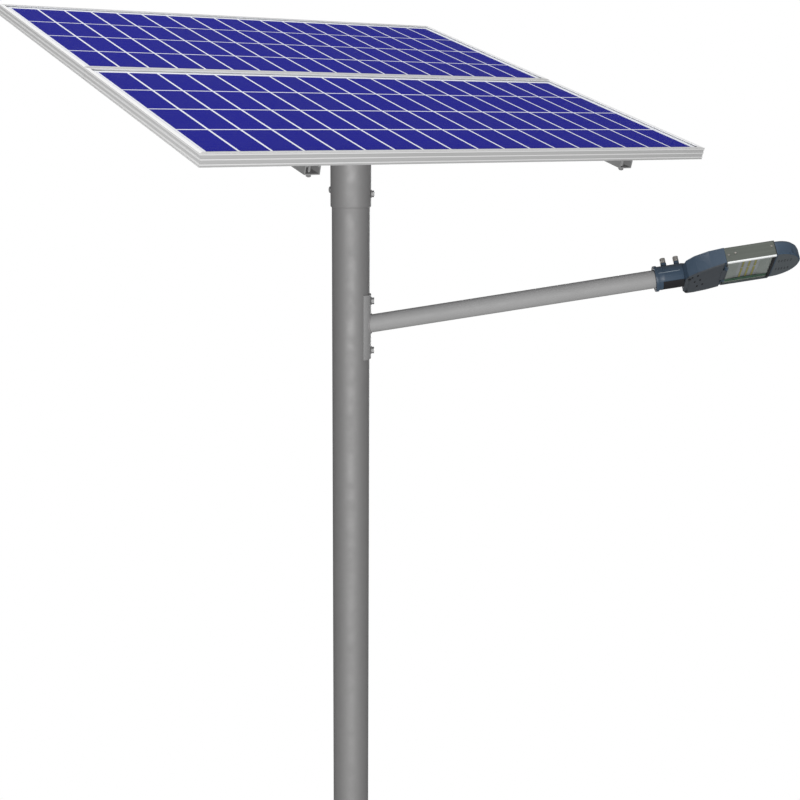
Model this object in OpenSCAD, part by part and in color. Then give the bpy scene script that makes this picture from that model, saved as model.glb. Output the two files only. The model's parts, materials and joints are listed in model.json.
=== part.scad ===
// Solar street lamp: pole with base flange and battery door, side arm with a
// LED lantern, and two solar panels on a tilting, turning post-top saddle.
// Millimetres, +Z up, origin at the centre of the base flange's underside.
// The arm runs along +X.

/* [Pole] */
// Outside diameter of the pole tube
pole_d = 110; // [104:1:116]
// Height of the centre of the panels above the ground
panel_centre_z = 4800; // [4400:10:5600]
// Wall of the pole tube
pole_wall = 4; // [3:0.5:5]
// Side of the square base flange
base_side = 300; // [280:5:340]
// Thickness of the base flange
base_t = 16; // [12:1:20]
// Distance between anchor bolt holes
anchor_pitch = 220; // [200:5:240]

/* [Array] */
// Pitch of the cells along the panel
cell_x = 82; // [78:0.5:86]
// Pitch of the cells across the panel
cell_y = 165; // [158:0.5:172]
// Height of the panel frame
frame_h = 32; // [32:1:40]
// Tilt of the panels above level
array_tilt = 16; // [8:1:20]
// Turn of the panels about the pole, from the arm
array_turn = 33.4; // [20:0.2:45]

/* [Arm and lantern] */
// Outside diameter of the arm
arm_d = 53; // [50:0.5:54]
// Rise of the arm above level
arm_rise = 9.44; // [5:0.1:15]
// Length of the arm to the lantern's collar
arm_len = 842; // [700:10:1000]
// Roll of the lantern about the arm
head_roll = 33; // [0:1:60]

/* [Hidden] */
$fn = 64;
e = 0.01;
pr = pole_d / 2;
pi_r = pr - pole_wall;
zc = panel_centre_z;
pole_top = zc - 242.3;
cap_z = zc - 242;
cap_t = 10;
pivot_z = zc - 168;
arm_z = zc - 711;
cols = 18;
rows = 4;
edge = 24;
pl = cols * cell_x + 2 * edge;
pw = rows * cell_y + 2 * edge;
gap = 4;
pc = (pw + gap) / 2;
lip = 1.5;
fb = lip - frame_h;
glass_t = 3.2;
rail_x = 480;
rail_h = 21;
rail_w = 41;
beam = 60;
beam_y = -92.4;
beam_top = fb - rail_h;
beam_bot = beam_top - beam;
// pivot seen from the array's own frame
off = 48;
pv_y = -off * cos(array_tilt) - (zc - pivot_z) * sin(array_tilt);
pv_z = off * sin(array_tilt) - (zc - pivot_z) * cos(array_tilt);
lock_r = 40;
lk_y = pv_y - lock_r * sin(array_tilt);
lk_z = pv_z - lock_r * cos(array_tilt);
door_lo = 430;
door_hi = 790;
door_a = 45;
hole_a = 38;
door_r = pr + 0.4;
hinge_a = 218;
hinge_r = pr + 7;

c_steel = [0.50, 0.50, 0.51];
c_zinc = [0.72, 0.73, 0.74];
c_alu = [0.78, 0.79, 0.80];
c_blue = [0.27, 0.34, 0.41];
c_dark = [0.24, 0.26, 0.28];
c_cell = [0.15, 0.16, 0.52];
c_black = [0.08, 0.08, 0.09];

// ---------- frames ----------
module at_post() { rotate([0, 0, array_turn]) children(); }
module at_array() {
  rotate([0, 0, array_turn]) translate([0, off, zc]) rotate([array_tilt, 0, 0]) children();
}
module at_arm() { translate([pr + 4.3, 0, arm_z]) rotate([0, -arm_rise, 0]) children(); }
module at_head() { at_arm() translate([arm_len, 0, 0]) rotate([-head_roll, 0, 0]) children(); }
module x_cyl(r, x0, x1) { translate([x0, 0, 0]) rotate([0, 90, 0]) cylinder(r = r, h = x1 - x0); }
module x_hex(r, x0, x1) { translate([x0, 0, 0]) rotate([0, 90, 0]) cylinder(r = r, h = x1 - x0, $fn = 6); }
module ring(r0, r1, h) { difference() { cylinder(r = r1, h = h); translate([0, 0, -1]) cylinder(r = r0, h = h + 2); } }
// sector of a ring, centred on direction a, half-angle w
module sector(r0, r1, h, a, w) {
  rotate([0, 0, a]) intersection() {
    ring(r0, r1, h);
    translate([0, 0, -1]) linear_extrude(h + 2)
      polygon([[0, 0], [2 * r1 * cos(w), -2 * r1 * sin(w)], [2 * r1 * cos(w), 2 * r1 * sin(w)]]);
  }
}

// ---------- pole ----------
module pole_tube() color(c_steel) difference() {
  translate([0, 0, base_t]) ring(pi_r, pr, pole_top - base_t);
  translate([0, 0, door_lo + 20]) sector(pi_r - 5, pr + 5, door_hi - door_lo - 40, 270, hole_a);
  at_arm() x_cyl(14, -20, 0);
  for (z = [arm_z + 67, arm_z - 79]) translate([0, 0, z]) x_cyl(6.2, pi_r - 5, pr + 5);
}
module base_flange() color(c_steel) difference() {
  union() {
    translate([-base_side / 2 + 20, -base_side / 2, 0]) cube([base_side - 40, base_side, base_t]);
    translate([-base_side / 2, -base_side / 2 + 20, 0]) cube([base_side, base_side - 40, base_t]);
    for (x = [-1, 1], y = [-1, 1]) translate([x * (base_side / 2 - 20), y * (base_side / 2 - 20), 0]) cylinder(r = 20, h = base_t);
  }
  translate([0, 0, -1]) cylinder(r = 45, h = base_t + 2);
  for (x = [-1, 1], y = [-1, 1]) translate([x * anchor_pitch / 2, y * anchor_pitch / 2, -1]) cylinder(r = 11, h = base_t + 2);
}
module base_gussets() color(c_steel) for (a = [0, 90, 180, 270]) rotate([0, 0, a])
  translate([0, 4, base_t]) rotate([90, 0, 0]) linear_extrude(8)
    polygon([[pr + 0.2, 0], [pr + 80, 0], [pr + 80, 12], [pr + 12, 130], [pr + 0.2, 130]]);
function pol(r, a) = [r * cos(a), r * sin(a)];
module door_hinge_brackets() color(c_steel) for (z = [door_lo + 50, door_hi - 80]) translate([0, 0, z]) difference() {
  union() {
    translate(concat(pol(hinge_r, hinge_a), 0)) cylinder(r = 4.5, h = 12);
    linear_extrude(12) polygon([pol(pr + 1.5, 207), pol(pr + 3.9, 205), pol(pr + 10.5, 217), pol(pr + 5, 219), pol(pr + 1.5, 211)]);
    sector(pr + 0.2, pr + 4, 12, hinge_a - 14, 7);
  }
  translate(concat(pol(hinge_r, hinge_a), -1)) cylinder(r = 2.05, h = 14);
}
module battery_shelf() color(c_zinc) translate([0, 0, door_lo + 10]) difference() {
  cylinder(r = pi_r - 0.3, h = 4);
  translate([0, 0, -1]) cylinder(r = 10, h = 6);
}
module battery_pack() color([0.20, 0.35, 0.55]) translate([-29, -29, door_lo + 14]) cube([58, 58, 230]);
module charge_controller() color(c_black) {
  translate([-28, -14, door_lo + 256]) cube([56, 26, 76]);
  translate([-22, -16, door_lo + 268]) cube([44, 3, 20]);
  translate([-31, 12, door_lo + 252]) cube([62, 2, 84]);
}
module arm_saddle() color([0.62, 0.62, 0.63]) difference() {
  translate([0, 0, arm_z - 103]) sector(pr + 0.2, pr + 4.6, 190, 0, 47);
  at_arm() x_cyl(14, -20, 20);
  for (z = [arm_z + 67, arm_z - 79]) translate([0, 0, z]) x_cyl(6.2, pi_r - 5, pr + 8);
}
module arm_saddle_bolts() color(c_zinc) for (z = [arm_z + 67, arm_z - 79]) translate([0, 0, z]) {
  x_cyl(6, pi_r - 9, pr + 6);
  x_cyl(11.5, pr + 4.7, pr + 6.5);
  x_hex(10, pr + 6.4, pr + 13.5);
  x_hex(10, pi_r - 8.5, pi_r - 1.4);
}
module arm_tube() color([0.66, 0.66, 0.66]) difference() {
  at_arm() difference() { x_cyl(arm_d / 2, -12, arm_len + 70); x_cyl(arm_d / 2 - 3, -20, arm_len + 80); }
  translate([0, 0, arm_z - 80]) cylinder(r = pr + 4.7, h = 160);
}

// ---------- access door ----------
module access_door() color(c_steel) difference() {
  union() {
    translate([0, 0, door_lo]) sector(door_r, door_r + 3, door_hi - door_lo, 270, door_a);
    for (z = [door_lo + 63, door_hi - 93 - 25]) translate([0, 0, z]) {
      translate(concat(pol(hinge_r, hinge_a), 0)) cylinder(r = 4.5, h = 25);
      linear_extrude(25) polygon([pol(pr + 2, 228), pol(pr + 3.3, 231), pol(pr + 10.5, 219), pol(pr + 5, 217), pol(pr + 1.6, 225.5)]);
    }
  }
  for (z = [door_lo, door_hi - 140]) translate(concat(pol(hinge_r, hinge_a), z)) cylinder(r = 2.05, h = 140);
  translate([0, 0, (door_lo + door_hi) / 2]) rotate([0, 0, 270 + door_a - 7]) x_cyl(4.2, pr - 4, pr + 9);
}
module door_hinge_pin() color(c_zinc) for (z = [door_lo + 49, door_hi - 119]) translate(concat(pol(hinge_r, hinge_a), z)) {
  cylinder(r = 2, h = z < 600 ? 40.2 : 52);
  translate([0, 0, z < 600 ? 39.3 : 51.3]) cylinder(r = 3.4, h = 2);
}
module door_lock() color(c_zinc) translate([0, 0, (door_lo + door_hi) / 2]) rotate([0, 0, 270 + door_a - 7]) {
  x_cyl(4, pr + 0.5, pr + 5);
  difference() { x_cyl(7.5, pr + 3.9, pr + 6.4); x_hex(3.2, pr + 5, pr + 8); }
}

// ---------- post-top saddle ----------
module post_top_sleeve() color(c_steel) difference() {
  translate([0, 0, cap_z - 130]) rotate_extrude() polygon([[pr + 0.3, 0], [pr + 1.6, 0], [pr + 3.0, 1.4], [pr + 3.6, 4], [pr + 3.6, 130], [pr + 0.3, 130]]);
  translate([0, 0, zc - 323]) x_cyl(5, -pr - 8, -pr + 4);
  translate([0, 0, zc - 334]) x_cyl(5, pr - 4, pr + 8);
}
module sleeve_round_screw() translate([0, 0, zc - 323]) rotate([0, 0, 180]) {
  x_cyl(4.9, pr + 0.5, pr + 5);
  translate([pr + 3.4, 0, 0]) rotate([0, 90, 0]) rotate_extrude() polygon([[0, 0.4], [9.5, 0.4], [9.2, 2.2], [7.4, 4], [4, 5.2], [0, 5.6]]);
}
module sleeve_hex_screw() translate([0, 0, zc - 334]) {
  x_cyl(4.9, pr + 0.5, pr + 13);
  x_cyl(11.5, pr + 3.8, pr + 5.8);
  x_hex(9.5, pr + 5.7, pr + 12);
}
module sleeve_screws() color(c_zinc) { sleeve_round_screw(); sleeve_hex_screw(); }
module saddle_cap_plate() color(c_steel) at_post() translate([0, 0, cap_z]) difference() {
  union() {
    cylinder(r = 66, h = cap_t);
    translate([-66, -55, 0]) cube([132, 110, cap_t]);
  }
  translate([0, 0, -1]) cylinder(r = 14, h = cap_t + 2);
}
slot_w = 4.6;
function swing(a, r) = [r * sin(a), -r * cos(a)];
function cap(a, d) = [for (t = [20 : 20 : 160]) [lock_r * sin(a) + slot_w * (cos(t) * sin(a) * d + sin(t) * cos(a) * d), -lock_r * cos(a) + slot_w * (-cos(t) * cos(a) * d + sin(t) * sin(a) * d)]];
module ear_shape() difference() {
  union() {
    polygon([[-52, 0], [52, 0], [23, pivot_z - cap_z - cap_t + 4], [-23, pivot_z - cap_z - cap_t + 4]]);
    translate([0, pivot_z - cap_z - cap_t]) circle(r = 24);
  }
  translate([0, pivot_z - cap_z - cap_t]) {
    circle(r = 6.05);
    polygon(concat([for (a = [-20 : 4 : 16]) swing(a, lock_r + slot_w)], cap(16, 1), [for (a = [16 : -4 : -20]) swing(a, lock_r - slot_w)], cap(-20, -1)));
  }
}
module tilt_ear(s) at_post() translate([s > 0 ? 44 : -52, 0, cap_z + cap_t]) rotate([90, 0, 90]) linear_extrude(8) ear_shape();
module tilt_ear_left() color(c_steel) tilt_ear(-1);
module tilt_ear_right() color(c_steel) tilt_ear(1);
module pivot_bolt() color(c_zinc) at_post() translate([0, 0, pivot_z]) {
  x_cyl(6, -66, 64);
  x_cyl(12, 52.1, 54.1); x_hex(10.5, 54, 61.5);
  x_cyl(12, -54.1, -52.1); x_hex(10.5, -63.5, -54);
}
module lock_bolt() color(c_zinc) at_array() translate([0, lk_y, lk_z]) {
  x_cyl(4, -66, 62);
  x_cyl(9, 52.4, 54.1); x_hex(7.5, 54, 60);
  x_cyl(9, -54.1, -52.4); x_hex(7.5, -62, -54);
}
module tilt_knuckle() color(c_steel) at_array() {
  translate([-43, beam_y - 42, beam_bot - 6]) cube([86, 84, 6]);
  for (x = [-43, 37]) translate([x, 0, 0]) rotate([90, 0, 90]) linear_extrude(6) difference() {
    union() {
      polygon([[beam_y - 40, beam_bot - 5.9], [beam_y + 40, beam_bot - 5.9], [pv_y + 19, pv_z], [lk_y + 11.5, lk_z - 3], [lk_y - 11.5, lk_z + 3], [pv_y - 19, pv_z]]);
      translate([pv_y, pv_z]) circle(r = 19.5);
      translate([lk_y, lk_z]) circle(r = 12);
    }
    translate([pv_y, pv_z]) circle(r = 6.05);
    translate([lk_y, lk_z]) circle(r = 4.05);
  }
}
module torque_tube() color(c_zinc) at_array() translate([-560, beam_y - beam / 2, beam_bot]) difference() {
  cube([1120, beam, beam]);
  translate([-1, 3, 3]) cube([1122, beam - 6, beam - 6]);
  for (x = [560 - rail_x, 560 + rail_x], y = [beam / 2 - 15, beam / 2 + 15]) translate([x, y, -1]) cylinder(r = 5.2, h = beam + 2);
}
module torque_tube_caps() color(c_black) at_array() for (s = [-1, 1]) translate([s > 0 ? 560 : -563, beam_y - beam / 2, beam_bot]) {
  cube([3, beam, beam]);
  translate([s > 0 ? -12 : 2.9, 3.3, 3.3]) cube([12.1, beam - 6.6, beam - 6.6]);
}
module rail_bolts() color(c_zinc) at_array() for (x = [-rail_x, rail_x], y = [beam_y - 15, beam_y + 15]) translate([x, y, 0]) {
  translate([0, 0, beam_bot - 9]) cylinder(r = 5, h = beam + 11.6);
  translate([0, 0, beam_top + 2.5]) cylinder(r = 9, h = 6.5, $fn = 6);
  translate([0, 0, beam_bot - 8]) cylinder(r = 9, h = 8, $fn = 6);
}
module rail(s) at_array() translate([s * rail_x, 0, 0]) difference() {
  translate([0, pc * 2, 0]) rotate([90, 0, 0]) linear_extrude(4 * pc) polygon([
    [-rail_w / 2, fb], [-rail_w / 2, beam_top], [rail_w / 2, beam_top], [rail_w / 2, fb],
    [rail_w / 2 - 7, fb], [rail_w / 2 - 7, fb - 2.5], [rail_w / 2 - 2.5, fb - 2.5], [rail_w / 2 - 2.5, beam_top + 2.5],
    [-rail_w / 2 + 2.5, beam_top + 2.5], [-rail_w / 2 + 2.5, fb - 2.5], [-rail_w / 2 + 7, fb - 2.5], [-rail_w / 2 + 7, fb]]);
  for (y = bolt_rows) translate([0, y, beam_top - 1]) cylinder(r = 4.4, h = 5);
  for (y = [beam_y - 15, beam_y + 15]) translate([0, y, beam_top - 1]) cylinder(r = 5.2, h = 5);
}
bolt_rows = [-pc - pw / 2 + 14, -pc + pw / 2 - 14, pc - pw / 2 + 14, pc + pw / 2 - 14];
module left_rail() color([0.60, 0.60, 0.61]) rail(-1);
module right_rail() color([0.60, 0.60, 0.61]) rail(1);
module panel_bolts() color(c_zinc) at_array() for (x = [-rail_x, rail_x], y = bolt_rows) translate([x, y, 0]) {
  translate([0, 0, beam_top - 10]) cylinder(r = 4, h = rail_h + 13);
  translate([0, 0, fb + 1.5]) cylinder(r = 7, h = 5.3, $fn = 6);
  translate([0, 0, beam_top - 1.6]) cylinder(r = 8.5, h = 1.6);
  translate([0, 0, beam_top - 8.2]) cylinder(r = 7, h = 6.7, $fn = 6);
}

// ---------- solar panels ----------
module bar_profile() polygon([
  [0, lip - 0.6], [0.6, lip], [11, lip], [11, 0], [3, 0], [3, -4.6], [12, -4.6], [12, -6.2], [1.9, -6.2], [1.9, fb + 1.5], [25, fb + 1.5], [25, fb],
  [0, fb], [0, fb + 1], [0.9, fb + 1.9], [0.9, fb + 3.3], [0, fb + 4.2], [0, fb + 7.2], [0.9, fb + 8.1], [0.9, fb + 14.7], [0, fb + 15.6], [0, fb + 18.9], [0.9, fb + 19.8], [0.9, fb + 25.6], [0, fb + 26.5]]);
// a bar of length l along +X, outer face on y = 0, mitred at both ends
module bar(l) difference() {
  translate([-l / 2, 0, 0]) rotate([90, 0, 90]) linear_extrude(l) bar_profile();
  for (m = [0, 1]) mirror([m, 0, 0]) translate([l / 2 - 0.05, 0, -60]) rotate([0, 0, 45]) translate([0, -40, 0]) cube([60, 120, 80]);
}
module long_bar(yc, s) at_array() translate([0, yc, 0]) rotate([0, 0, s > 0 ? 180 : 0]) translate([0, -pw / 2, 0]) difference() {
  bar(pl);
  for (x = [-rail_x, rail_x]) translate([x, 14, fb - 1]) cylinder(r = 4.4, h = 4);
}
module short_bar(yc, s) at_array() translate([0, yc, 0]) rotate([0, 0, s > 0 ? 90 : -90]) translate([0, -pl / 2, 0]) bar(pw);
module front_panel_front_bar() color(c_alu) long_bar(-pc, -1);
module front_panel_back_bar() color(c_alu) long_bar(-pc, 1);
module front_panel_left_bar() color(c_alu) short_bar(-pc, -1);
module front_panel_right_bar() color(c_alu) short_bar(-pc, 1);
module back_panel_front_bar() color(c_alu) long_bar(pc, -1);
module back_panel_back_bar() color(c_alu) long_bar(pc, 1);
module back_panel_left_bar() color(c_alu) short_bar(pc, -1);
module back_panel_right_bar() color(c_alu) short_bar(pc, 1);
module glass_sheet(yc) at_array() translate([-pl / 2 + 3.4, yc - pw / 2 + 3.4, -glass_t]) cube([pl - 6.8, pw - 6.8, glass_t]);
module cell_grid(yc) at_array() for (i = [0 : cols - 1], j = [0 : rows - 1])
  translate([-pl / 2 + edge + i * cell_x + 3.4, yc - pw / 2 + edge + j * cell_y + 3.4, -glass_t - 0.35]) cube([cell_x - 6.8, cell_y - 6.8, 0.35]);
module back_sheet(yc) at_array() translate([-pl / 2 + 3.4, yc - pw / 2 + 3.4, -4.6]) cube([pl - 6.8, pw - 6.8, 4.6 - glass_t - 0.35]);
module junction_box(yc) at_array() translate([0, yc + 60, 0]) {
  translate([-60, -35, -26]) cube([120, 70, 21.4]);
  translate([-57, -32, -29]) cube([114, 64, 3.1]);
  for (x = [-38, 38]) translate([x, -34, -16]) rotate([90, 0, 0]) { cylinder(r = 7, h = 12); translate([0, 0, 4]) cylinder(r = 9, h = 6, $fn = 6); }
}
module front_panel_glass() color([0.75, 0.85, 0.95, 0.25]) glass_sheet(-pc);
module front_panel_cells() color(c_cell) cell_grid(-pc);
module front_panel_backsheet() color([0.93, 0.93, 0.93]) back_sheet(-pc);
module junction_boxes() color(c_black) for (y = [-pc, pc]) junction_box(y);
module back_panel_glass() color([0.75, 0.85, 0.95, 0.25]) glass_sheet(pc);
module back_panel_cells() color(c_cell) cell_grid(pc);
module back_panel_backsheet() color([0.93, 0.93, 0.93]) back_sheet(pc);

// ---------- lantern: x along the arm, z up, viewed from -y ----------
br = arm_d / 2 + 0.3;
hs0 = 194.4;
hs1 = 335.6;
under = -16.4;
function slope_z(s) = -33 + (s - 76) * 16.6 / 118;
module head_plan(d) polygon([[76 + d, -38 + d], [84 + d, -52 + d], [110, -62 + d], [150, -71 + d], [194 - d, -75 + d],
  [194 - d, 75 - d], [150, 71 - d], [110, 62 - d], [84 + d, 52 - d], [76 + d, 38 - d]]);
module spigot_socket() color(c_blue) at_head() difference() {
  union() {
    x_cyl(37.5, -5.5, 3);
    x_cyl(34.5, 2.5, 75.9);
    x_cyl(36, 19, 21.4);
    for (y = [-1, 1]) translate([2.8, y * 35 - 1.2, -1.2]) cube([66, 2.4, 2.4]);
    for (s = [30, 68]) translate([s, 0, 20]) cylinder(r = s < 50 ? 8.5 : 7.8, h = 24);
  }
  x_cyl(br, -7, 80);
  translate([15, -60, -60]) cube([100, 120, 36]);
  for (s = [30, 68]) translate([s, 0, 15]) cylinder(r = 5, h = 40);
}
module spigot_pad() color(c_black) at_head() intersection() {
  difference() { x_cyl(34.2, 15.3, 75.7); x_cyl(br, 0, 90); }
  translate([0, -60, -60]) cube([100, 120, 35.7]);
}
module spigot_screws() color(c_zinc) at_head() for (s = [30, 68]) translate([s, 0, 0]) {
  translate([0, 0, arm_d / 2 + 0.4]) cylinder(r = 4.9, h = 26);
  translate([0, 0, 45.1]) cylinder(r = 8.2, h = 3.6, $fn = 6);
  difference() { translate([0, 0, 48.6]) cylinder(r = 8, h = 11.4); translate([0, 0, 54]) cylinder(r = 4.2, h = 8, $fn = 6); }
}
module driver_housing() color(c_blue) at_head() difference() {
  union() {
    intersection() {
      translate([0, 0, -40]) linear_extrude(80) head_plan(0);
      translate([0, 90, 0]) rotate([90, 0, 0]) linear_extrude(180)
        polygon([[76, slope_z(76)], [194, slope_z(194)], [194, 30], [150, 28.6], [110, 24.4], [86, 18.4], [76, 10]]);
    }
    intersection() {
      translate([76, 0, 0]) rotate([0, 90, 0]) cylinder(r1 = 34.5, r2 = 23, h = 70);
      translate([0, -60, 5]) cube([200, 120, 60]);
    }
    for (y = [-45, 31]) {
      translate([190.5, y, -20.6]) cube([3.4, 14, 4.8]);
      translate([190.5, y, -20.6]) cube([7, 14, 3.7]);
      translate([197.5, y, -20.6]) rotate([-90, 0, 0]) cylinder(r = 3.6, h = 14);
    }
  }
  difference() {
    union() {
      translate([0, 0, -45]) linear_extrude(62) head_plan(3);
      intersection() {
        translate([0, 0, -45]) linear_extrude(67) head_plan(3);
        translate([118, -90, -60]) cube([100, 180, 120]);
      }
    }
    translate([180, -50, -40]) cube([20, 100, 0.1]);
  }
  translate([197.5, -50, -20.6]) rotate([-90, 0, 0]) cylinder(r = 1.55, h = 100);
  x_cyl(9, 70, 84);
}
module driver_module() color([0.80, 0.80, 0.78]) at_head() {
  translate([100, -33, -8]) cube([76, 66, 25]);
  translate([84, -20, 3]) cube([12, 40, 14]);
}
module driver_cover() color(c_dark) at_head() difference() {
  union() {
    intersection() {
      translate([0, 0, -60]) linear_extrude(80) head_plan(0);
      translate([0, 90, 0]) rotate([90, 0, 0]) linear_extrude(180)
        polygon([[74, slope_z(76) - 0.3], [188, slope_z(188) - 0.3], [188, slope_z(188) - 3.2], [185, slope_z(188) - 4.3], [90, slope_z(84) - 4.3], [78, slope_z(76) - 1.5]]);
    }
    translate([184, -29, -22.8]) cube([13.5, 58, 4]);
    translate([197.5, -29, -20.6]) rotate([-90, 0, 0]) cylinder(r = 3.6, h = 58);
  }
  translate([197.5, -50, -20.6]) rotate([-90, 0, 0]) cylinder(r = 1.55, h = 100);
  for (p = [[94, -45], [105, -10], [116, 25], [110, -48], [121, -13], [132, 22]]) translate([p[0] - 2.6, p[1] - 6.5, -60]) cube([5.2, 13, 80]);
  for (y = [-46, 29.4]) translate([186.5, y, -30]) cube([20, 16.6, 30]);
  for (y = [-40, 40]) translate([86, y, -60]) cylinder(r = 2.3, h = 60);
}
module driver_cover_pin() color(c_zinc) at_head() translate([197.5, -46, -20.6]) rotate([-90, 0, 0]) cylinder(r = 1.5, h = 92);
module driver_cover_screws() color(c_zinc) at_head() for (y = [-40, 40]) translate([86, y, slope_z(86)]) {
  translate([0, 0, -4.9]) cylinder(r = 2.2, h = 5.3);
  difference() { translate([0, 0, -7]) cylinder(r = 4, h = 2.3); translate([-0.5, -5, -7.2]) cube([1, 10, 1]); }
}
module heat_sink() color([0.47, 0.48, 0.44]) at_head() difference() {
  translate([hs0, 0, 0]) rotate([90, 0, 90]) linear_extrude(hs1 - hs0) difference() {
    polygon([[-75, under], [75, under], [75, 26], [72, 30], [-72, 30], [-75, 26]]);
    for (i = [0 : 10]) translate([-70.4 + i * 12.9, 9]) square([9.8, 40]);
  }
  translate([hs0 + 2.6, -71.5, -30]) cube([hs1 - hs0 - 5.2, 143, 26]);
}
module side_screws() color(c_zinc) at_head() for (m = [0, 1]) mirror([0, m, 0])
  for (p = [[203, 5], [223, 8], [327, 12]]) translate([p[0], -75, p[1]]) rotate([90, 0, 0]) difference() {
    cylinder(r = 3, h = 1.6);
    translate([-0.4, -4, 0.9]) cube([0.8, 8, 2]);
  }
module led_board() color([0.88, 0.89, 0.86]) at_head() translate([238, -68, -6]) difference() {
  cube([60, 136, 2]);
  for (x = [4, 56], i = [0 : 7]) translate([x, 12 + i * 16, -1]) cylinder(r = 1.6, h = 1.6);
}
module led_chips() color([0.85, 0.78, 0.25]) at_head() for (s = [250, 268, 286], i = [0 : 15])
  translate([s - 2.5, -62.5 + i * 7.7 + (i > 7 ? 4.5 : 0), -7.4]) cube([5, 5, 1.4]);
module window_reflectors() color([0.70, 0.71, 0.70]) at_head() {
  for (y = [-70.5, 64.5]) translate([hs0 + 3, y, -12.8]) cube([hs1 - hs0 - 6, 6, 1.6]);
  translate([0, 64, 0]) rotate([90, 0, 0]) linear_extrude(128) {
    polygon([[hs0 + 3, -12.8], [hs0 + 6, -12.8], [237.8, -6.6], [237.8, -4], [hs0 + 3, -4]]);
    polygon([[hs1 - 3, -12.8], [hs1 - 6, -12.8], [298.2, -6.6], [298.2, -4], [hs1 - 3, -4]]);
  }
}
module window_glass() color([0.85, 0.90, 0.90, 0.3]) at_head() translate([hs0 + 2.9, -71.2, under + 0.2]) cube([hs1 - hs0 - 5.8, 142.4, 3.2]);
module bezel_rails() color([0.86, 0.87, 0.88]) at_head() for (r = [[-76.8, 4.6], [69.6, 1.6]]) translate([hs0 + 0.2, r[0], under - r[1] - 0.1]) cube([hs1 - hs0 - 0.4, 7.2, r[1]]);
module nose_gasket() color(c_black) at_head() translate([hs1 + 0.1, -74, under + 0.4]) difference() {
  cube([2.2, 148, 44.6]);
  translate([-1, 12, 8]) cube([5, 124, 28]);
}
module nose_cap() color(c_blue) at_head() translate([hs1 + 2.4, 0, 0]) difference() {
  union() {
    intersection() {
      translate([3, 0, 0]) rotate_extrude() polygon([[0, under], [72.5, under], [75.2, under + 3], [75.2, 12], [73, 21], [67, 28], [58, 31.6], [40, 33.2], [0, 34]]);
      translate([3, -90, -60]) cube([100, 180, 120]);
    }
    rotate([90, 0, 90]) linear_extrude(3) polygon([[-72.5, under], [72.5, under], [75.2, under + 3], [75.2, 12], [73, 21], [67, 28], [58, 31.6], [-58, 31.6], [-67, 28], [-73, 21], [-75.2, 12], [-75.2, under + 3]]);
  }
  intersection() {
    translate([3, 0, 0]) rotate_extrude() polygon([[0, under - 1], [70.5, under - 1], [70.5, 12], [68, 19], [62, 24.4], [54, 27.4], [0, 28]]);
    translate([3, -90, -60]) cube([100, 180, 120]);
  }
}
module nose_grille() color(c_dark) at_head() translate([hs1 + 2.4, 0, under]) difference() {
  intersection() {
    translate([3.3, 0, 0]) cylinder(r = 70, h = 2.4);
    translate([3.3, -90, -1]) cube([100, 180, 60]);
  }
  for (y = [-31, 20], i = [0 : 4], k = [0, 8]) translate([13 + i * 8.6 - 1.8, y + k, -1]) cube([3.6, 5.4, 5]);
}

pole_tube();
base_flange();
base_gussets();
door_hinge_brackets();
battery_shelf();
battery_pack();
charge_controller();
arm_saddle();
arm_saddle_bolts();
arm_tube();
access_door();
door_hinge_pin();
door_lock();
post_top_sleeve();
saddle_cap_plate();
tilt_ear_left();
tilt_ear_right();
sleeve_screws();
pivot_bolt();
lock_bolt();
tilt_knuckle();
torque_tube();
torque_tube_caps();
rail_bolts();
left_rail();
right_rail();
panel_bolts();
front_panel_front_bar();
front_panel_back_bar();
front_panel_left_bar();
front_panel_right_bar();
back_panel_front_bar();
back_panel_back_bar();
back_panel_left_bar();
back_panel_right_bar();
front_panel_glass();
front_panel_cells();
front_panel_backsheet();
junction_boxes();
back_panel_glass();
back_panel_cells();
back_panel_backsheet();
spigot_socket();
spigot_pad();
spigot_screws();
driver_housing();
driver_module();
driver_cover();
driver_cover_screws();
driver_cover_pin();
heat_sink();
side_screws();
led_board();
led_chips();
window_reflectors();
window_glass();
bezel_rails();
nose_gasket();
nose_cap();
nose_grille();
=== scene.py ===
# Solar street lamp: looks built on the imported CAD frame. Metres, +Z up, the lamp arm along +X.
import json
import math

import bmesh
import bpy
from mathutils import Matrix, Vector


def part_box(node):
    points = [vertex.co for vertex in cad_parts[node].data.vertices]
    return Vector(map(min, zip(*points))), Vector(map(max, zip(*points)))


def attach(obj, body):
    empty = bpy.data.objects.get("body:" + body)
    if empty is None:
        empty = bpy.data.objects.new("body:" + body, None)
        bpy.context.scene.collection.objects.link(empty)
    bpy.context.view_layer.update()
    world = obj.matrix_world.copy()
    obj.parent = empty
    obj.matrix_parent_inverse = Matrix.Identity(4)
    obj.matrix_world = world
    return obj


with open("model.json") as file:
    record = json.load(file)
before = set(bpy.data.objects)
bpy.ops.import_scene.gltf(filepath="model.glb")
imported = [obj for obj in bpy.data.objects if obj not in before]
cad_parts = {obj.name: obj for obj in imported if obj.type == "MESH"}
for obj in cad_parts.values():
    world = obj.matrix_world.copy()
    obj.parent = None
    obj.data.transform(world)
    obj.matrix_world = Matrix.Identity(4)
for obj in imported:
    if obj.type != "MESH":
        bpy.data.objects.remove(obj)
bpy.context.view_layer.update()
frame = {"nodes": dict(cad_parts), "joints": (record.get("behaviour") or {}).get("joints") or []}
NODES = frame["nodes"]

# ---------------------------------------------------------------- directions
TURN, TILT = math.radians(33.4), math.radians(16.0)
U = Vector((math.cos(TURN), math.sin(TURN), 0))
VH = Vector((-math.sin(TURN), math.cos(TURN), 0))
V = VH * math.cos(TILT) + Vector((0, 0, math.sin(TILT)))
N = U.cross(V)
JOINTS = {j["name"]: j for j in frame["joints"]}
HEAD = Vector(JOINTS["lantern_roll"]["pos_m"])
HX = Vector(JOINTS["lantern_roll"]["axis"]).normalized()
HY = -Vector(JOINTS["cover_swing"]["axis"]).normalized()
HZ = HX.cross(HY)


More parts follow.
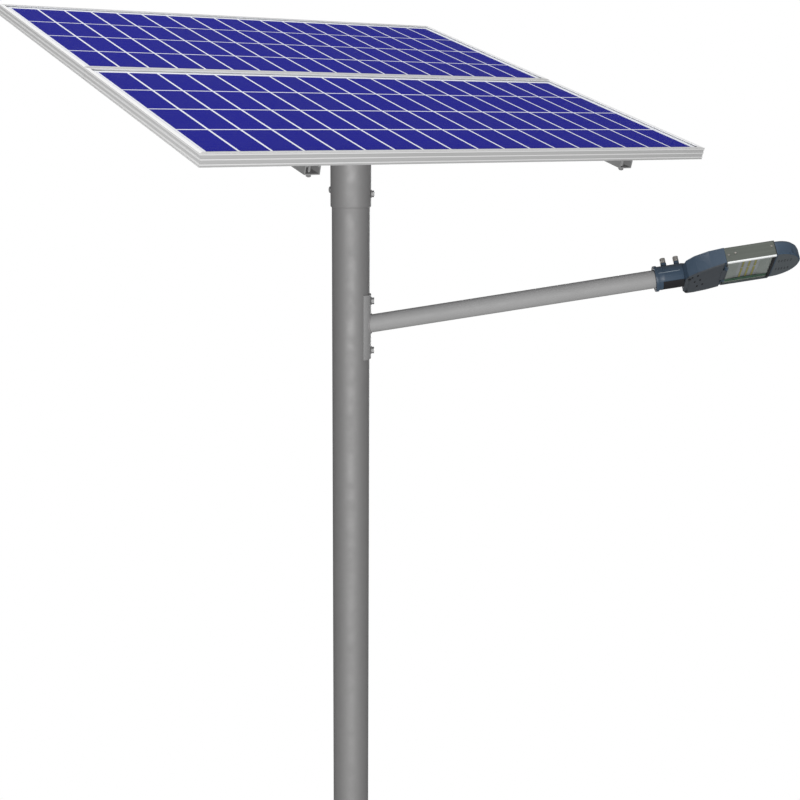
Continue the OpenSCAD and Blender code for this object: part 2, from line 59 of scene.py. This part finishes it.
def head_pt(x, y, z):
    """A point in the lantern's own frame, in mm, as a row-frame point in metres."""
    return HEAD + HX * (x / 1000) + HY * (y / 1000) + HZ * (z / 1000)


def mid(*names):
    lo = [min(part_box(n)[0][i] for n in names) for i in range(3)]
    hi = [max(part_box(n)[1][i] for n in names) for i in range(3)]
    return Vector([(a + b) / 2 for a, b in zip(lo, hi)])


ARRAY = mid("front_panel_cells", "back_panel_cells")
FACE = ARRAY + N * 0.003375
# heights in mm below FACE along N where bright bands are painted on the frame as rib highlights
RIBS = (-1.9, -13.2, -24.8)

# ---------------------------------------------------------------- materials


class Mat:
    def __init__(self, name):
        self.m = bpy.data.materials.new(name)
        self.m.use_nodes = True
        self.t = self.m.node_tree
        self.t.nodes.clear()
        self.out = self.t.nodes.new("ShaderNodeOutputMaterial")
        self.p = self.t.nodes.new("ShaderNodeBsdfPrincipled")
        self.t.links.new(self.p.outputs[0], self.out.inputs[0])
        self.c = self.t.nodes.new("ShaderNodeTexCoord").outputs["Object"]

    def n(self, kind, **kw):
        x = self.t.nodes.new(kind)
        for k, v in kw.items():
            if k in x.inputs:
                x.inputs[k].default_value = v
            else:
                setattr(x, k, v)
        return x

    def link(self, a, b):
        self.t.links.new(a, b)

    def axes(self, a, b, c, sa, sb, sc, origin=(0, 0, 0)):
        """Coordinates along three unit directions, each scaled."""
        sub = self.n("ShaderNodeVectorMath", operation="SUBTRACT")
        self.link(self.c, sub.inputs[0])
        sub.inputs[1].default_value = origin
        comb = self.n("ShaderNodeCombineXYZ")
        for i, (d, s) in enumerate(((a, sa), (b, sb), (c, sc))):
            dot = self.n("ShaderNodeVectorMath", operation="DOT_PRODUCT")
            self.link(sub.outputs[0], dot.inputs[0])
            dot.inputs[1].default_value = [v * s for v in d]
            self.link(dot.outputs["Value"], comb.inputs[i])
        return comb.outputs[0]

    def noise(self, scale, detail=4.0, rough=0.5, vec=None):
        x = self.n("ShaderNodeTexNoise", Scale=scale, Detail=detail, Roughness=rough)
        self.link(vec or self.c, x.inputs["Vector"])
        return x.outputs[0]

    def math(self, op, a, b=None, clamp=False):
        x = self.n("ShaderNodeMath", operation=op, use_clamp=clamp)
        for i, v in enumerate((a, b)):
            if v is None:
                continue
            if isinstance(v, (int, float)):
                x.inputs[i].default_value = v
            else:
                self.link(v, x.inputs[i])
        return x.outputs[0]

    def remap(self, v, a, b, c, d):
        x = self.n("ShaderNodeMapRange")
        self.link(v, x.inputs[0])
        for i, q in enumerate((a, b, c, d)):
            x.inputs[i + 1].default_value = q
        return x.outputs[0]

    def mix(self, fac, a, b):
        x = self.n("ShaderNodeMix", data_type="RGBA")
        if isinstance(fac, (int, float)):
            x.inputs[0].default_value = fac
        else:
            self.link(fac, x.inputs[0])
        for i, v in ((6, a), (7, b)):
            if isinstance(v, (tuple, list)):
                x.inputs[i].default_value = (*v[:3], 1)
            else:
                self.link(v, x.inputs[i])
        return x.outputs[2]

    def bump(self, h, strength, dist, prev=None):
        x = self.n("ShaderNodeBump", Strength=strength, Distance=dist)
        self.link(h, x.inputs["Height"])
        if prev is not None:
            self.link(prev, x.inputs["Normal"])
        return x.outputs[0]

    def up(self):
        """How far a surface faces up, 0 to 1."""
        g = self.n("ShaderNodeNewGeometry")
        s = self.n("ShaderNodeSeparateXYZ")
        self.link(g.outputs["True Normal"], s.inputs[0])
        return self.remap(s.outputs[2], 0.2, 1.0, 0.0, 1.0)

    def set(self, **kw):
        names = {"base": "Base Color", "metal": "Metallic", "rough": "Roughness", "normal": "Normal", "spec": "Specular IOR Level", "coat": "Coat Weight",
                 "coat_rough": "Coat Roughness", "ior": "IOR", "alpha": "Alpha", "trans": "Transmission Weight"}
        for k, v in kw.items():
            s = self.p.inputs[names[k]]
            if isinstance(v, (int, float)):
                s.default_value = v
            elif isinstance(v, (tuple, list)):
                s.default_value = (*v[:3], 1)
            else:
                self.link(v, s)
        return self.m


def shade(c, f):
    return tuple(min(1, x * f) for x in c)


def paint(name, col, rough=0.42, var=0.10, spec=0.45, metal=0.0, peel=0.035, dust=0.10, grain=900.0):
    """Powder coat or paint: fine orange peel, faint blotches, light dust on what faces up."""
    m = Mat(name)
    blotch = m.remap(m.noise(3.0, 5), 0.3, 0.7, 0, 1)
    fine = m.remap(m.noise(60.0, 4), 0.35, 0.65, 0, 1)
    c = m.mix(blotch, shade(col, 1 - var), shade(col, 1 + var))
    c = m.mix(m.math("MULTIPLY", fine, 0.25), c, shade(col, 1 - 1.6 * var))
    speck = m.remap(m.noise(420.0, 2), 0.70, 0.78, 0, 1)
    c = m.mix(m.math("MULTIPLY", speck, 0.25), c, shade(col, 1.5))
    d = m.math("MULTIPLY", m.up(), m.math("MULTIPLY", m.remap(m.noise(14.0, 6), 0.35, 0.75, 0.2, 1), dust))
    c = m.mix(d, c, (0.42, 0.40, 0.37))
    r = m.remap(m.noise(25.0, 4), 0.3, 0.7, rough - 0.05, rough + 0.07)
    b = m.bump(m.noise(grain, 2), peel, 0.0006)
    return m.set(base=c, rough=r, normal=b, spec=spec, metal=metal)


def brushed(name, col, along, rough=0.34, metal=0.9, streak=700.0, var=0.08):
    """Drawn or brushed metal, its streaks along one of the three directions in along."""
    m = Mat(name)
    a, b, c = along
    vec = m.axes(a, b, c, 3.0, streak, streak)
    s = m.remap(m.noise(1.0, 3, vec=vec), 0.3, 0.7, 0, 1)
    col2 = m.mix(s, shade(col, 1 - var), shade(col, 1 + var))
    stain = m.remap(m.noise(9.0, 5), 0.45, 0.75, 0, 0.35)
    col2 = m.mix(stain, col2, shade(col, 0.86))
    r = m.remap(s, 0, 1, rough - 0.05, rough + 0.08)
    return m.set(base=col2, rough=r, normal=m.bump(s, 0.05, 0.0003), metal=metal, spec=0.5)


def galvanised(name, col, rough=0.38):
    m = Mat(name)
    v = m.n("ShaderNodeTexVoronoi", Scale=70.0)
    m.link(m.c, v.inputs["Vector"])
    g = m.n("ShaderNodeSeparateColor")
    m.link(v.outputs["Color"], g.inputs[0])
    c = m.mix(g.outputs[0], shade(col, 0.82), shade(col, 1.12))
    c = m.mix(m.remap(m.noise(12.0, 5), 0.45, 0.7, 0, 0.4), c, shade(col, 0.75))
    r = m.remap(g.outputs[1], 0, 1, rough - 0.08, rough + 0.1)
    return m.set(base=c, rough=r, metal=0.85, normal=m.bump(m.noise(160.0, 3), 0.06, 0.0005))


def plated(name, col, rough=0.28, metal=1.0):
    """Zinc plate or stainless on fasteners: fine turning marks and a little staining."""
    m = Mat(name)
    t = m.remap(m.noise(700.0, 3), 0.35, 0.65, 0, 1)
    c = m.mix(t, shade(col, 0.88), shade(col, 1.08))
    c = m.mix(m.remap(m.noise(90.0, 4), 0.5, 0.75, 0, 0.5), c, shade(col, 0.62))
    return m.set(base=c, rough=m.remap(t, 0, 1, rough - 0.06, rough + 0.08), metal=metal, normal=m.bump(t, 0.06, 0.0002))


def plastic(name, col, rough=0.5, spec=0.4, var=0.12):
    m = Mat(name)
    n = m.noise(1400.0, 3)
    c = m.mix(m.remap(m.noise(20.0, 4), 0.3, 0.7, 0, 1), shade(col, 1 - var), shade(col, 1 + var))
    d = m.math("MULTIPLY", m.up(), 0.12)
    c = m.mix(d, c, (0.35, 0.33, 0.30))
    return m.set(base=c, rough=m.remap(n, 0.3, 0.7, rough - 0.05, rough + 0.1), normal=m.bump(n, 0.08, 0.0003), spec=spec)


def clear_glass(name, tint, gloss, rough, dust=0.03):
    """Thin flat glass: what is behind shows through, with a faint even reflection and a little dust."""
    m = Mat(name)
    t = m.t
    tr = t.nodes.new("ShaderNodeBsdfTransparent")
    tr.inputs[0].default_value = (*tint, 1)
    gl = t.nodes.new("ShaderNodeBsdfGlossy")
    gl.inputs["Roughness"].default_value = rough
    wave = m.bump(m.noise(5.0, 2), 0.006, 0.001)
    m.link(wave, gl.inputs["Normal"])
    df = t.nodes.new("ShaderNodeBsdfDiffuse")
    df.inputs[0].default_value = (0.55, 0.53, 0.5, 1)
    mx = t.nodes.new("ShaderNodeMixShader")
    mx.inputs[0].default_value = gloss
    m.link(tr.outputs[0], mx.inputs[1])
    m.link(gl.outputs[0], mx.inputs[2])
    mx2 = t.nodes.new("ShaderNodeMixShader")
    m.link(m.remap(m.noise(18.0, 8, 0.7), 0.45, 0.85, 0.0, dust), mx2.inputs[0])
    m.link(mx.outputs[0], mx2.inputs[1])
    m.link(df.outputs[0], mx2.inputs[2])
    m.link(mx2.outputs[0], m.out.inputs[0])
    t.nodes.remove(m.p)
    return m.m


CELL_X, CELL_Y, ROW0 = 0.082, 0.165, -0.686


def solar_cells(name, origin_v):
    """Blue silicon: fine grid fingers, silver busbars, and each cell its own slight tone."""
    m = Mat(name)
    org = ARRAY - U * (9 * CELL_X) + V * (origin_v)
    vec = m.axes(U, V, N, 1.0, 1.0, 0.0, origin=org)
    sep = m.n("ShaderNodeSeparateXYZ")
    m.link(vec, sep.inputs[0])
    u, v = sep.outputs[0], sep.outputs[1]
    cu = m.math("FLOOR", m.math("DIVIDE", u, CELL_X))
    cv = m.math("FLOOR", m.math("DIVIDE", v, CELL_Y))
    cc = m.n("ShaderNodeCombineXYZ")
    m.link(cu, cc.inputs[0])
    m.link(cv, cc.inputs[1])
    w = m.n("ShaderNodeTexWhiteNoise", noise_dimensions="3D")
    m.link(cc.outputs[0], w.inputs["Vector"])
    base = m.mix(w.outputs["Value"], (0.0080, 0.0086, 0.2450), (0.0100, 0.0106, 0.2650))
    base = m.mix(m.remap(m.noise(11.0, 4), 0.35, 0.65, 0, 0.5), base, (0.0100, 0.0106, 0.256))
    fingers = m.math("GREATER_THAN", m.math("FRACT", m.math("DIVIDE", v, 0.0021)), 0.9)
    base = m.mix(m.math("MULTIPLY", fingers, 0.025), base, (0.30, 0.32, 0.55))
    bus = m.math("GREATER_THAN", m.math("FRACT", m.math("ADD", m.math("DIVIDE", v, CELL_Y / 9.0), 0.53)), 0.955)
    base = m.mix(m.math("MULTIPLY", bus, 0.05), base, (0.45, 0.47, 0.62))
    return m.set(base=base, rough=m.remap(w.outputs["Value"], 0, 1, 0.42, 0.5), spec=0.06, normal=m.bump(fingers, 0.03, 0.0001))


M = {}
M["pole"] = paint("pole_paint", (0.272, 0.269, 0.268), rough=0.66, var=0.02, spec=0.25, metal=0.50, dust=0.04)
M["arm"] = paint("arm_paint", (0.300, 0.299, 0.299), rough=0.62, var=0.03, spec=0.30, dust=0.04)
M["galv"] = galvanised("galvanised_steel", (0.50, 0.51, 0.52))
M["rail"] = paint("rail_paint", (0.26, 0.26, 0.26), rough=0.5, var=0.05, spec=0.3)
M["zinc"] = plated("zinc_plate", (0.25, 0.25, 0.25), rough=0.55, metal=0.3)
M["steel"] = plated("stainless_steel", (0.50, 0.48, 0.45), rough=0.30, metal=0.85)


def anodised(name, along, col):
    """Extruded frame: streaks along the bar, with painted highlights: bright bands at the ribs' heights and a lighter
    top face.
    """
    m = Mat(name)
    s = m.remap(m.noise(1.0, 3, vec=m.axes(*along, 3.0, 900.0, 900.0)), 0.3, 0.7, 0, 1)
    c = m.mix(s, shade(col, 0.96), shade(col, 1.04))
    d = m.n("ShaderNodeVectorMath", operation="SUBTRACT")
    m.link(m.c, d.inputs[0])
    d.inputs[1].default_value = FACE
    h = m.n("ShaderNodeVectorMath", operation="DOT_PRODUCT")
    m.link(d.outputs[0], h.inputs[0])
    h.inputs[1].default_value = [v * 1000 for v in N]
    rib = None
    # bright bands at the ribs' heights: painted highlight
    for z in RIBS:
        one = m.math("LESS_THAN", m.math("ABSOLUTE", m.math("SUBTRACT", h.outputs["Value"], z)), 1.5)
        rib = one if rib is None else m.math("ADD", rib, one, clamp=True)
    # the frame's top face lightened: painted highlight
    top = m.math("GREATER_THAN", h.outputs["Value"], 0.5)
    c = m.mix(rib, c, shade(col, 1.55))
    c = m.mix(top, c, shade(col, 1.35))
    return m.set(base=c, rough=m.remap(s, 0, 1, 0.44, 0.54), metal=0.25, spec=0.4, normal=m.bump(s, 0.04, 0.0002))


# same aluminium on every bar; the long bars take a darker tone (0.50) and the short bars a lighter one (0.76): painted
# light and shade
M["frame_long"] = anodised("anodised_frame_long_painted_shade", (U, V, N), (0.50, 0.50, 0.50))
M["frame_short"] = anodised("anodised_frame_short_painted_light", (V, U, N), (0.76, 0.76, 0.76))
M["pglass"] = clear_glass("panel_glass", (0.99, 0.995, 1.0), 0.004, 0.25, 0.004)
M["lglass"] = clear_glass("lantern_glass", (0.95, 0.97, 0.96), 0.06, 0.06)
M["cell_f"] = solar_cells("solar_cells_front", -0.686)
M["cell_b"] = solar_cells("solar_cells_back", 0.026)
M["sheet"] = plastic("white_backsheet", (0.93, 0.93, 0.97), rough=0.55, var=0.01)
M["bplas"] = plastic("black_moulding", (0.022, 0.022, 0.024), rough=0.48)
M["brub"] = plastic("black_rubber", (0.012, 0.012, 0.014), rough=0.7, spec=0.25)
M["blue"] = paint("lantern_blue_coat", (0.038, 0.064, 0.100), rough=0.46, var=0.07, spec=0.4, grain=1500.0, dust=0.05)
M["dark"] = paint("lantern_dark_coat", (0.052, 0.060, 0.070), rough=0.55, var=0.07, spec=0.3, grain=1500.0, dust=0.02)
M["grille"] = paint("nose_grille_coat", (0.080, 0.092, 0.100), rough=0.55, var=0.07, spec=0.3, grain=1500.0, dust=0.02)
M["sink"] = brushed("extruded_heat_sink", (0.105, 0.116, 0.102), (HX, HY, HZ), rough=0.48, metal=0.35, var=0.08)
M["bezel"] = brushed("bright_bezel", (0.80, 0.82, 0.82), (HX, HY, HZ), rough=0.35, metal=0.1, var=0.04)
M["blackox"] = plated("black_oxide", (0.03, 0.03, 0.032), rough=0.4, metal=0.6)
# light strip for the socket's parting line: painted highlight
M["edge"] = paint("parting_edge_painted_highlight", (0.34, 0.40, 0.46), rough=0.4, var=0.15, spec=0.5, dust=0.0)
M["case"] = brushed("driver_case", (0.55, 0.55, 0.54), (HX, HY, HZ), rough=0.4, metal=0.8)
M["pcb"] = plastic("white_solder_mask", (0.34, 0.335, 0.36), rough=0.35, spec=0.5, var=0.08)
M["green"] = plastic("green_solder_mask", (0.022, 0.085, 0.042), rough=0.3, spec=0.5, var=0.15)
M["refl"] = paint("reflector_coat", (0.30, 0.305, 0.295), rough=0.5, var=0.09, spec=0.35, dust=0.0)
M["led"] = plastic("yellow_phosphor", (0.30, 0.26, 0.055), rough=0.4, spec=0.4, var=0.25)
M["batt"] = plastic("battery_sleeve", (0.03, 0.09, 0.26), rough=0.3, spec=0.5, var=0.06)
M["weld"] = paint("weld_bead_paint", (0.25, 0.243, 0.246), rough=0.45, var=0.06, spec=0.35, peel=0.4, grain=250.0, dust=0.0)

FINISH = {
    "pole": ["pole_tube", "base_flange", "base_gussets", "door_hinge_brackets", "access_door", "post_top_sleeve", "saddle_cap_plate", "tilt_ear_left", "tilt_ear_right"],
    "arm": ["arm_saddle", "arm_tube"],
    "galv": ["battery_shelf", "torque_tube", "tilt_knuckle"],
    "rail": ["left_rail", "right_rail"],
    "zinc": ["door_hinge_pin", "arm_saddle_bolts", "door_lock", "sleeve_screws", "pivot_bolt", "lock_bolt", "rail_bolts", "panel_bolts"],
    "steel": ["spigot_screws", "driver_cover_pin", "side_screws"],
    "blackox": ["driver_cover_screws"],
    "frame_long": [f"{p}_panel_{b}_bar" for p in ("front", "back") for b in ("front", "back")],
    "frame_short": [f"{p}_panel_{b}_bar" for p in ("front", "back") for b in ("left", "right")],
    "pglass": ["front_panel_glass", "back_panel_glass"],
    "lglass": ["window_glass"],
    "cell_f": ["front_panel_cells"],
    "cell_b": ["back_panel_cells"],
    "sheet": ["front_panel_backsheet", "back_panel_backsheet"],
    "bplas": ["junction_boxes", "torque_tube_caps", "charge_controller"],
    "brub": ["spigot_pad", "nose_gasket"],
    "blue": ["spigot_socket", "driver_housing", "nose_cap"],
    "dark": ["driver_cover"],
    "grille": ["nose_grille"],
    "sink": ["heat_sink"],
    "bezel": ["bezel_rails"],
    "case": ["driver_module"],
    "pcb": ["led_board"],
    "refl": ["window_reflectors"],
    "led": ["led_chips"],
    "batt": ["battery_pack"],
}
for key, names in FINISH.items():
    for n in names:
        ob = NODES[n]
        ob.data.materials.clear()
        ob.data.materials.append(M[key])

# the bezel is one part in one finish; its far rail (faces on the +HY side) takes the dark coat instead: painted shade
bz = NODES["bezel_rails"]
bz.data.materials.append(M["dark"])
for p in bz.data.polygons:
    p.material_index = 1 if (p.center - HEAD).dot(HY) > 0 else 0

# ---------------------------------------------------------------- edge softening on CAD nodes
BEVEL = {
    "base_flange": 0.0015, "base_gussets": 0.001, "saddle_cap_plate": 0.001, "tilt_ear_left": 0.0008, "tilt_ear_right": 0.0008, "torque_tube": 0.002,
    "tilt_knuckle": 0.0008, "junction_boxes": 0.002, "driver_housing": 0.0016, "driver_cover": 0.0008, "heat_sink": 0.0004, "bezel_rails": 0.0012,
    "nose_cap": 0.0006, "spigot_socket": 0.0006, "battery_pack": 0.004, "charge_controller": 0.0012, "driver_module": 0.001, "torque_tube_caps": 0.001,
    "arm_saddle": 0.0006, "access_door": 0.0005, "spigot_screws": 0.0006, "arm_saddle_bolts": 0.0006, "pivot_bolt": 0.0006, "lock_bolt": 0.0005,
    "sleeve_screws": 0.0004, "rail_bolts": 0.0005, "panel_bolts": 0.0004, "led_chips": 0.0003,
}
for n, w in BEVEL.items():
    ob = NODES[n]
    wd = ob.modifiers.new("weld", "WELD")
    wd.merge_threshold = 0.00001
    bv = ob.modifiers.new("soft_edges", "BEVEL")
    bv.width = w
    bv.segments = 2
    bv.limit_method = "ANGLE"
    bv.angle_limit = math.radians(38)
    bv.use_clamp_overlap = True
    bv.harden_normals = True


# a hair's gap between the glass and the cells it lies on, so that the two faces don't share one plane
for n in ("front_panel_glass", "back_panel_glass"):
    wd = NODES[n].modifiers.new("weld", "WELD")
    wd.merge_threshold = 0.00001
    dm = NODES[n].modifiers.new("gap", "DISPLACE")
    dm.direction = "NORMAL"
    dm.mid_level = 0.0
    dm.strength = -0.00012

# ---------------------------------------------------------------- added detail
def piece(name, bm, mat, body, smooth=True):
    me = bpy.data.meshes.new(name)
    bm.to_mesh(me)
    bm.free()
    for p in me.polygons:
        p.use_smooth = smooth
    ob = bpy.data.objects.new(name, me)
    bpy.context.scene.collection.objects.link(ob)
    me.materials.append(mat)
    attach(ob, body)
    return ob


def bead(bm, pts, r, sides=8, closed=True, ripple=0.12, step=0.006):
    """A weld bead: a tube along pts with evenly stacked ripples."""
    n = len(pts)
    rings = []
    dist = 0.0
    for i, p in enumerate(pts):
        q = pts[(i + 1) % n] if (closed or i < n - 1) else pts[i]
        o = pts[i - 1] if (closed or i > 0) else pts[i]
        d = (q - o).normalized()
        side = d.cross(Vector((0.31, 0.17, 0.93))).normalized()
        up = side.cross(d)
        dist += (p - o).length
        rr = r * (1 + ripple * math.sin(2 * math.pi * dist / step))
        rings.append([bm.verts.new(p + side * (rr * math.cos(a)) + up * (rr * math.sin(a))) for a in [2 * math.pi * k / sides for k in range(sides)]])
    last = n if closed else n - 1
    for i in range(last):
        a, b = rings[i], rings[(i + 1) % n]
        for k in range(sides):
            bm.faces.new((a[k], a[(k + 1) % sides], b[(k + 1) % sides], b[k]))
    if not closed:
        bm.faces.new(rings[0])
        bm.faces.new(list(reversed(rings[-1])))


# weld round the pole's foot
bm = bmesh.new()
z0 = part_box("base_flange")[1].z
bead(bm, [Vector((0.0562 * math.cos(a), 0.0562 * math.sin(a), z0 + 0.0012)) for a in [2 * math.pi * i / 260 for i in range(260)]], 0.0032)
piece("foot_weld", bm, M["weld"], "pole")

# weld where the arm meets its saddle: the arm's outline on the saddle's curved face
arm_lo, arm_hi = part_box("arm_tube")
a_dir = HX
a_org = HEAD - HX * 0.842
r_s, r_a = 0.0598, 0.0268
side_y = Vector((0, 1, 0))
side_z = a_dir.cross(side_y)
bm = bmesh.new()
pts = []
for i in range(200):
    t = 2 * math.pi * i / 200
    off = side_y * (r_a * math.cos(t)) + side_z * (r_a * math.sin(t))
    p = a_org + off
    # slide along the arm until the radius from the pole's axis is the saddle's
    k = 0.0
    for _ in range(30):
        q = p + a_dir * k
        k += (r_s - math.hypot(q.x, q.y))
    pts.append(p + a_dir * k)
bead(bm, pts, 0.0026, ripple=0.10, step=0.005)
piece("arm_weld", bm, M["weld"], "pole")

# welds along the gussets
bm = bmesh.new()
for q in range(4):
    a = math.pi / 2 * q
    d, s = Vector((math.cos(a), math.sin(a), 0)), Vector((-math.sin(a), math.cos(a), 0))
    for e in (-1, 1):
        bead(bm, [d * (0.058 + 0.0037 * i / 2) + s * (0.0042 * e) + Vector((0, 0, z0 + 0.0006)) for i in range(42)], 0.0020, 6, False)
        bead(bm, [d * 0.0556 + s * (0.0045 * e) + Vector((0, 0, z0 + 0.003 + 0.003 * i)) for i in range(42)], 0.0020, 6, False)
piece("gusset_welds", bm, M["weld"], "pole")


def box_bm(bm, c, ax, half):
    vs = []
    for i in (-1, 1):
        for j in (-1, 1):
            for k in (-1, 1):
                vs.append(bm.verts.new(c + ax[0] * (i * half[0]) + ax[1] * (j * half[1]) + ax[2] * (k * half[2])))
    for f in ((0, 1, 3, 2), (4, 6, 7, 5), (0, 4, 5, 1), (2, 3, 7, 6), (0, 2, 6, 4), (1, 5, 7, 3)):
        bm.faces.new([vs[i] for i in f])


HAX = (HX, HY, HZ)
# green wiring board along the window's far edge, with its small parts
bm = bmesh.new()
box_bm(bm, head_pt(265, 58.5, -12.9), HAX, (0.0655, 0.0072, 0.00006))
g = piece("wiring_board", bm, M["green"], "lantern", smooth=False)
bm = bmesh.new()
for i in range(13):
    w = 0.0011 if i % 3 else 0.0022
    box_bm(bm, head_pt(206 + i * 9.8, 58.2 + (1.2 if i % 2 else -1.2), -12.5), HAX, (w, 0.0010, 0.0003))
piece("wiring_board_parts", bm, M["bplas"], "lantern", smooth=False)

# copper pads beside each LED
bm = bmesh.new()
for s in (250, 268, 286):
    for i in range(16):
        y = -62.5 + i * 7.7 + (4.5 if i > 7 else 0) + 2.5
        for e in (-1, 1):
            box_bm(bm, head_pt(s + e * 3.6, y, -6.05), HAX, (0.0009, 0.0019, 0.0001))
piece("solder_pads", bm, M["zinc"], "lantern", smooth=False)

# black seals across both ends of the window
bm = bmesh.new()
for x, w in ((197.2, 0.0018), (331.4, 0.0030)):
    box_bm(bm, head_pt(x, -0.2, -16.7), HAX, (w, 0.0690, 0.0005))
piece("window_seals", bm, M["brub"], "lantern", smooth=False)

# black plates behind the cover's louvre slots: painted shade that keeps the slots dark
bm = bmesh.new()
for px, py in ((94, -45), (105, -10), (116, 25), (110, -48), (121, -13), (132, 22)):
    box_bm(bm, head_pt(px, py, -36.17 + 0.154 * (px - 90) + 1.1), HAX, (0.0026, 0.0065, 0.0003))
piece("slot_shade_plates", bm, M["brub"], "driver_cover", smooth=False)

# black plates behind the nose's perforations: painted shade that keeps the holes dark
bm = bmesh.new()
for y0 in (-31, 20):
    for i in range(5):
        for k in (0, 8):
            box_bm(bm, head_pt(351 + 8.6 * i, y0 + k + 2.7, -15.6), HAX, (0.0018, 0.0027, 0.0002))
piece("nose_hole_shade_plates", bm, M["brub"], "lantern", smooth=False)

# a light strip along each side of the socket at its parting line: painted highlight
bm = bmesh.new()
for e in (-1, 1):
    bead(bm, [head_pt(4 + 1.3 * i, e * 36.3, 0.0) for i in range(49)], 0.00055, 6, False, 0.05, 0.02)
piece("socket_parting_edges", bm, M["edge"], "lantern")

# ---------------------------------------------------------------- floor, light and camera
bm = bmesh.new()
rings = [[bm.verts.new((r * math.cos(2 * math.pi * k / 96), r * math.sin(2 * math.pi * k / 96), -0.0006)) for k in range(96)] for r in (0.25, 1.2, 2.4, 3.9)]
bm.faces.new(rings[0])
for a, b in zip(rings, rings[1:]):
    for k in range(96):
        bm.faces.new((a[k], b[k], b[(k + 1) % 96], a[(k + 1) % 96]))
me = bpy.data.meshes.new("floor")
bm.to_mesh(me)
bm.free()
floor = bpy.data.objects.new("floor", me)
bpy.context.scene.collection.objects.link(floor)
fm = Mat("pale_floor")
geo = fm.n("ShaderNodeVectorMath", operation="LENGTH")
fm.link(fm.c, geo.inputs[0])
fm.set(base=(0.82, 0.82, 0.82), rough=0.9, spec=0.0, alpha=fm.remap(geo.outputs["Value"], 1.6, 3.85, 1.0, 0.0))
floor.data.materials.append(fm.m)

world = bpy.data.worlds.new("studio")
bpy.context.scene.world = world
world.use_nodes = True
wt = world.node_tree
wt.nodes.clear()
wo = wt.nodes.new("ShaderNodeOutputWorld")
lp = wt.nodes.new("ShaderNodeLightPath")
wm = wt.nodes.new("ShaderNodeMixShader")
wa = wt.nodes.new("ShaderNodeBackground")
wa.inputs[0].default_value = (1, 1, 1, 1)
wa.inputs[1].default_value = 0.24
wb = wt.nodes.new("ShaderNodeBackground")
wb.inputs[0].default_value = (1, 1, 1, 1)
wb.inputs[1].default_value = 1.0
wt.links.new(lp.outputs["Is Camera Ray"], wm.inputs[0])
wt.links.new(wa.outputs[0], wm.inputs[1])
wt.links.new(wb.outputs[0], wm.inputs[2])
wt.links.new(wm.outputs[0], wo.inputs[0])


def area(name, loc, target, size, energy, col=(1, 1, 1)):
    l = bpy.data.lights.new(name, "AREA")
    l.shape = "DISK"
    l.size = size
    l.energy = energy
    l.color = col
    o = bpy.data.objects.new(name, l)
    o.location = loc
    o.rotation_euler = (Vector(target) - Vector(loc)).to_track_quat("-Z", "Y").to_euler()
    bpy.context.scene.collection.objects.link(o)
    return o


area("key", (0.6, -11.0, 3.6), (0, 0, 3.5), 2.4, 1040)
area("top", (-1.2, -1.0, 11.0), (0, 0, 4.8), 4.0, 330)
area("back", (2.0, 9.0, 3.0), (0, 0, 3.0), 4.0, 350)

cam_data = bpy.data.cameras.new("camera")
cam = bpy.data.objects.new("camera", cam_data)
bpy.context.scene.collection.objects.link(cam)
cam_data.sensor_width = 36.0
cam_data.lens = 58.88
cam_data.clip_end = 500
cam.matrix_world = Matrix.Translation((0.14635, -3.80471, 4.69301)) @ Matrix.Rotation(math.radians(90 - 12.358), 4, "X") @ Matrix.Rotation(math.radians(0.464), 4, "Z")
bpy.context.scene.camera = cam
bpy.context.scene.view_settings.view_transform = "Standard"
bpy.context.scene.view_settings.look = "None"
